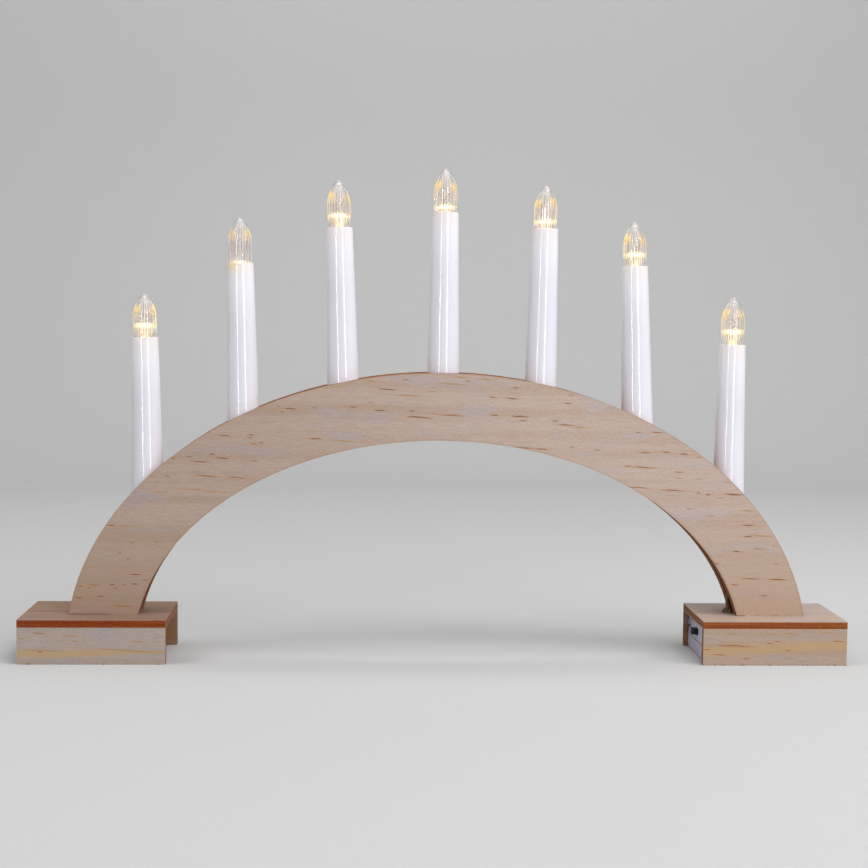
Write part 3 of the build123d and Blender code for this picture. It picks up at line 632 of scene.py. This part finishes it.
class CapPlastic(Finish):
    """Clear plastic with painted shade in lines along its ribs, and painted glow in its shoulders and walls
    and in a band by the LED.
    """

    between_ribs = (0.985, 0.965, 0.955, 1)
    rib_lines_in_shade = (0.740, 0.680, 0.655, 1)
    rib_count = 24
    rib_wave = (-0.2, 0.9)
    rib_shade = 0.7
    smooth_nose = (3 * mm, 6 * mm)
    skin_roughness = (0.02, 0.07)
    amber = (0.930, 0.710, 0.240, 1)
    amber_strength = 0.85
    amber_noise = (0.38, 0.62)
    shoulder_start = (5 * mm, 8 * mm)
    shoulder_end = (10 * mm, 14 * mm)
    side_span = (1.5 * mm, 4.8 * mm)
    side_shade = 0.7
    cloudy = (0.80, 0.77, 0.79, 1)
    clearness = 0.96
    tip_span = (1.0 * mm, 4.2 * mm)
    tip_cloudiness = 0.46
    tip_glow_strength = 0.05
    glow = (1.0, 0.74, 0.21, 1)
    glow_strength = 0.30
    band_below_led_top = 0.9 * mm
    band_span = (0.5 * mm, 2.2 * mm)
    wall_share = 0.45
    wall_span = (4.2 * mm, 5.8 * mm)
    wall_fade = (10 * mm, 30 * mm)
    low_led_wall_fade = (10 * mm, 16 * mm)
    spill_share = 0.06
    spill_height = 14 * mm

    def __init__(self, name, low, high, led_top, low_led):
        super().__init__(name, {"IOR": 1.49})
        where = self.place()
        level = self.part(where, "Z")
        below = self.minus(high.z, level)
        aside = self.minus(self.part(where, "X"), (low.x + high.x) / 2)
        off_axis = self.size(aside)
        turn = self.maths("ARCTAN2", self.part(where, "Y"), aside)
        wave = self.maths("COSINE", self.times(turn, self.rib_count))
        ribs = self.times(self.rise(wave, *self.rib_wave), self.rise(below, *self.smooth_nose))
        skin = self.noise(where, (0.8 * mm, 0.8 * mm, 2.5 * mm))
        self.roughness(skin, *self.skin_roughness)

        start = self.rise(below, *self.shoulder_start)
        end = self.fall(below, *self.shoulder_end)
        sides = self.rise(off_axis, *self.side_span)
        patches = self.noise(where, (3.5 * mm, 3.5 * mm, 7 * mm))
        shoulders = self.times(start, end, sides, self.rise(patches, *self.amber_noise))
        # Lines along the ribs are painted shade
        tone = self.mix(ribs, self.between_ribs, self.rib_lines_in_shade)
        tone = self.mix(self.times(shoulders, self.amber_strength), tone, self.amber)
        # The tip is a little cloudy, where the mould was filled
        tip = self.fall(below, *self.tip_span)
        self.colour(self.mix(tip, tone, self.cloudy))
        clear = self.minus(self.clearness, self.times(tip, self.tip_cloudiness))
        self.to_shader("Transmission Weight", clear)

        off_led = self.size(self.minus(level, led_top - self.band_below_led_top))
        middle = self.minus(1.0, self.times(sides, self.side_shade))
        band = self.times(self.fall(off_led, *self.band_span), middle)
        lines = self.minus(1.0, self.times(ribs, self.rib_shade))
        fading = self.fall(below, *(self.low_led_wall_fade if low_led else self.wall_fade))
        walls = self.times(self.rise(off_axis, *self.wall_span), start, fading, self.wall_share)
        light = self.times(self.larger(self.larger(shoulders, walls), band), lines)
        if not low_led:
            # Some light of an LED that stands in the cap spills up between the ribs
            above_led = self.minus(level, led_top)
            spill = self.times(self.fall(above_led, 0.0, self.spill_height), lines, self.spill_share)
            light = self.larger(light, spill)
        self.to_shader("Emission Color", self.mix(tip, self.glow, self.cloudy))
        strength = self.times(light, self.glow_strength)
        self.to_shader("Emission Strength", self.plus(strength, self.times(tip, self.tip_glow_strength)))


for number in candle_numbers:
    cap = f"flame_cap_{number}"
    led_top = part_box(f"led_{number}")[1].z
    CapPlastic(f"cap_clear_{number}", *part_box(cap), led_top, number == lowest_led).dress(cap)

# LEDs
# Clear 5 mm LEDs, lit, each on two tinned legs and held in its cap by a ring of hot melt. The dome
# glows almost white, and the body below it a warm yellow.


class LedLens(Finish):
    """A lit lens: brightest at its dome."""

    clear = (0.9, 0.85, 0.7, 1)
    white = (1.0, 0.90, 0.66, 1)
    yellow = (1.0, 0.66, 0.22, 1)
    dome_span = (0.5 * mm, 2.0 * mm)
    dome_glow = 3.5
    body_glow = 0.45

    def __init__(self, name, top):
        super().__init__(name, {"Base Color": self.clear, "Roughness": 0.2})
        below = self.minus(top, self.part(self.place(), "Z"))
        under_dome = self.rise(below, *self.dome_span)
        self.to_shader("Emission Color", self.mix(under_dome, self.white, self.yellow))
        dome = self.times(self.minus(1.0, under_dome), self.dome_glow)
        self.to_shader("Emission Strength", self.plus(dome, self.body_glow))


for number in candle_numbers:
    led = f"led_{number}"
    LedLens(f"led_lit_{number}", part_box(led)[1].z).dress(led)

tinned = TwoTone(
    "tinned_wire",
    {"Metallic": 1.0},
    grain=(0.5 * mm, 0.5 * mm, 4 * mm),
    tones=((0.78, 0.77, 0.75, 1), (0.62, 0.61, 0.58, 1)),
    rough=(0.22, 0.42),
)
tinned.dress("led_legs", "switch_pins")

# Wires
# Thin stranded wires in clear insulation, laid side by side in the groove of the arch and down through
# the right foot to the battery box. A shrunk sleeve covers each joint with a candle's leads.

insulation = TwoTone(
    "clear_insulation",
    {"Coat Weight": 0.25, "Coat Roughness": 0.15, "Specular IOR Level": 0.3},
    grain=(0.35 * mm, 0.35 * mm, 1.4 * mm),
    tones=((0.08, 0.050, 0.032, 1), (0.19, 0.140, 0.100, 1)),
    rough=(0.22, 0.40),
    coarseness=0.6,
)
insulation.dress("harness_wires", "candle_leads", "box_wires")

shrink_sleeve = TwoTone(
    "shrink_sleeve",
    {},
    grain=(0.8 * mm, 0.8 * mm, 2 * mm),
    tones=((0.68, 0.67, 0.62, 1), (0.80, 0.79, 0.75, 1)),
    rough=(0.40, 0.60),
    relief=0.05 * mm,
)
shrink_sleeve.dress("splice_sleeves")

# Hot melt
# Glue laid on hot: a blob where the wires go through the foot, lumps at the corner of the
# battery box, beads above it, and a milky ring round each LED, which the light comes through. The blob
# and the lumps are painted dark brown: painted shade, for the shaded surfaces seen through clear glue.

glue = TwoTone(
    "hot_melt",
    {"Specular IOR Level": 0.12},
    grain=(1.5 * mm, 1.5 * mm, 1.5 * mm),
    tones=((0.100, 0.056, 0.033, 1), (0.205, 0.132, 0.086, 1)),
    rough=(0.22, 0.42),
    relief=0.12 * mm,
)
glue.dress("feed_glue", "box_glue")

lit_glue_strength = 0.9
lit_glue = TwoTone(
    "hot_melt_lit",
    {"Emission Color": (1.0, 0.80, 0.48, 1)},
    grain=(1.2 * mm, 1.2 * mm, 1.2 * mm),
    tones=((0.62, 0.56, 0.46, 1), (0.76, 0.71, 0.62, 1)),
    rough=(0.30, 0.50),
    relief=0.12 * mm,
)
lit_glue.to_shader("Emission Strength", lit_glue.times(lit_glue.grains, lit_glue_strength))
lit_glue.dress("led_glue")

# Battery box
# A moulded tray for three cells, stood upside down in the right foot, and the cover that slides into
# it, with a flange at its end. White plastic, finely matt from the mould.

# The box's white is painted down to a lilac grey: painted shade, as it lies in shade inside the foot
box_shaded_deep = (0.47, 0.455, 0.575, 1)
box_shaded_light = (0.53, 0.515, 0.63, 1)
cover_joint = (0.10, 0.095, 0.14, 1)
cover_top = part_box("battery_cover")[1].z
joint_span = (0.10 * mm, 0.40 * mm)
mould_relief = 0.012 * mm
mould_roughness = (0.38, 0.55)
box_plastic = Finish("box_white", {"Specular IOR Level": 0.4})
on_box = box_plastic.place()
spark = box_plastic.noise(on_box, (0.22 * mm, 0.22 * mm, 0.22 * mm), coarseness=0.6)
haze = box_plastic.noise(on_box, (14 * mm, 14 * mm, 14 * mm), detail=1.0)
white = box_plastic.mix(haze, box_shaded_deep, box_shaded_light)
off_joint = box_plastic.size(box_plastic.minus(box_plastic.part(on_box, "Z"), cover_top))
box_plastic.colour(box_plastic.mix(box_plastic.rise(off_joint, *joint_span), cover_joint, white))
box_plastic.roughness(spark, *mould_roughness)
box_plastic.relief(spark, mould_relief)
box_plastic.dress("battery_box", "battery_cover")

# Cells
# Three AA cells: a steel can with a nub at one end, in a plain dark jacket of shrunk film.

steel = (0.70, 0.70, 0.68, 1)
cell_end_facing = (0.80, 0.90)
jacket = TwoTone(
    "cell_jacket",
    {},
    grain=(9 * mm, 2 * mm, 2 * mm),
    tones=((0.035, 0.036, 0.040, 1), (0.060, 0.062, 0.068, 1)),
    rough=(0.25, 0.40),
)
cell_ends = jacket.rise(jacket.facing_sideways(), *cell_end_facing)
jacket.colour(jacket.mix(cell_ends, jacket.tone, steel))
jacket.to_shader("Metallic", cell_ends)
jacket.dress("battery_1", "battery_2", "battery_3")

# Contacts
# Plates and bent leaves of nickel-plated spring steel, pressed into the walls of the cell bay.

nickel = TwoTone(
    "nickel_plate",
    {"Metallic": 1.0},
    grain=(4 * mm, 4 * mm, 0.25 * mm),
    tones=((0.62, 0.61, 0.57, 1), (0.76, 0.75, 0.71, 1)),
    rough=(0.20, 0.38),
    detail=3.0,
)
nickel.dress("contact_plates", "contact_springs")

# Slide switch
# A black plastic body behind the end wall of the box, with a ridged knob that slides across in a slot.

switch_black = TwoTone(
    "switch_black",
    {"Specular IOR Level": 0.45},
    grain=(0.25 * mm, 0.25 * mm, 0.25 * mm),
    tones=((0.010, 0.010, 0.011, 1), (0.022, 0.022, 0.024, 1)),
    rough=(0.36, 0.52),
    relief=0.01 * mm,
)
switch_black.dress("switch_body", "switch_knob")

# Dropper resistor
# A small lacquered resistor between the switch and the wire to the candles.

lacquer = TwoTone(
    "resistor_lacquer",
    {"Coat Weight": 0.5},
    grain=(1 * mm, 1 * mm, 1 * mm),
    tones=((0.60, 0.44, 0.24, 1), (0.70, 0.55, 0.33, 1)),
    rough=(0.25, 0.40),
)
lacquer.dress("resistor")

# Floor and backdrop
# One sheet of pale paper that lies flat under the object and curves up behind it. Seen through the
# clear caps it glows a little: painted light, standing in for the light the caps gather.

floor_half_width = 3.0
floor_front = -2.2
bend_start = 0.9
bend_radius = 0.5
bend_steps = 16
wall_top = 2.4

outline = [(floor_front, 0.0), (bend_start, 0.0)]
for step in range(1, bend_steps + 1):
    bend = math.pi / 2 * step / bend_steps
    outline.append((bend_start + bend_radius * math.sin(bend), bend_radius * (1 - math.cos(bend))))
outline.append((bend_start + bend_radius, wall_top))
sheet = bmesh.new()
rows = [
    [sheet.verts.new((side * floor_half_width, y, z)) for side in (-1, 1)] for y, z in outline
]
for (left, right), (next_left, next_right) in zip(rows, rows[1:]):
    sheet.faces.new((left, right, next_right, next_left)).smooth = True
paper_mesh = bpy.data.meshes.new("paper_sheet")
sheet.to_mesh(paper_mesh)
sheet.free()
paper_sheet = bpy.data.objects.new("paper_sheet", paper_mesh)
bpy.context.scene.collection.objects.link(paper_sheet)

gathered_strength = 0.26
paper = TwoTone(
    "pale_paper",
    {"Specular IOR Level": 0.0, "Emission Color": (1.0, 0.97, 0.96, 1)},
    grain=(3 * mm, 3 * mm, 3 * mm),
    tones=((0.545, 0.545, 0.545, 1), (0.565, 0.565, 0.565, 1)),
    rough=(0.70, 0.85),
    detail=3.0,
)
through_clear = paper.add("LightPath", {}, "Is Transmission Ray")
paper.to_shader("Emission Strength", paper.times(through_clear, gathered_strength))
paper_mesh.materials.append(paper.material)

# Studio light
# Soft boxes overhead, behind the camera and on both sides, and a long one that lights the backdrop. Only
# shiny surfaces see the last three: a spot for the cap tips and a strip for each line on the sleeves.

aim = Vector((0.0, 0.0, 120 * mm))
backdrop_aim = Vector((0.0, 1.4, 0.5))


def soft_box(name, place, width, height, power, target=aim, only_gloss=False):
    """An area lamp turned towards a target. Shiny surfaces mirror it only if it is there for gloss."""
    lamp = bpy.data.lights.new(name, "AREA")
    lamp.shape = "RECTANGLE"
    lamp.size = width
    lamp.size_y = height
    lamp.energy = power
    holder = bpy.data.objects.new(name, lamp)
    holder.location = place
    holder.rotation_euler = (target - Vector(place)).to_track_quat("-Z", "Y").to_euler()
    holder.visible_diffuse = not only_gloss
    holder.visible_glossy = only_gloss
    bpy.context.scene.collection.objects.link(holder)


soft_box("top_box", (0.50, -0.45, 1.35), width=1.2, height=1.2, power=11.5)
soft_box("right_box", (1.20, -0.60, 0.85), width=0.6, height=0.6, power=6.0)
soft_box("front_box", (0.55, -1.75, 1.00), width=1.5, height=1.0, power=14.0)
soft_box("left_box", (-1.00, -0.35, 1.25), width=0.8, height=0.8, power=7.0)
soft_box("wall_box", (0.0, 0.45, 1.80), width=2.0, height=0.3, power=9.0, target=backdrop_aim)
soft_box("tip_spot", (0.22, -0.36, 1.50), width=0.22, height=0.22, power=0.9, only_gloss=True)
soft_box("left_strip", (-0.55, -0.82, 0.32), width=0.05, height=0.6, power=2.3, only_gloss=True)
soft_box("right_strip", (0.28, -0.74, 0.32), width=0.05, height=0.6, power=1.9, only_gloss=True)

room_strength = 0.16
room_strength_through_clear = 0.85
world = bpy.data.worlds.new("studio_room")
world.use_nodes = True
room = world.node_tree
background = room.nodes["Background"]
background.inputs["Color"].default_value = (1.0, 1.0, 1.0, 1)
light_path = room.nodes.new("ShaderNodeLightPath")
strength = room.nodes.new("ShaderNodeMapRange")
strength.inputs["To Min"].default_value = room_strength
strength.inputs["To Max"].default_value = room_strength_through_clear
room.links.new(light_path.outputs["Is Transmission Ray"], strength.inputs["Value"])
room.links.new(strength.outputs["Result"], background.inputs["Strength"])
bpy.context.scene.world = world

# Camera
# It stands a little left of the middle and above the crown, tipped down and turned slightly to the
# right, as the photograph was taken.

camera_place = Vector((-38.60, -887.0, 189.29)) * mm
focal_pixels = 1607.449
image_pixels = 868
yaw = -0.0421
pitch = -0.0740
roll = -0.0106

lens = bpy.data.cameras.new("camera")
lens.sensor_width = 36.0
lens.lens = focal_pixels * lens.sensor_width / image_pixels
camera = bpy.data.objects.new("camera", lens)
turned = Matrix.Rotation(yaw, 3, "Z") @ Matrix.Rotation(pitch, 3, "X") @ Matrix.Rotation(roll, 3, "Y")
rightward, forward, upward = turned.transposed()
axes = Matrix((rightward, upward, -forward)).transposed()
camera.matrix_world = Matrix.Translation(camera_place) @ axes.to_4x4()
bpy.context.scene.collection.objects.link(camera)
bpy.context.scene.camera = camera
bpy.context.scene.view_settings.view_transform = "Standard"
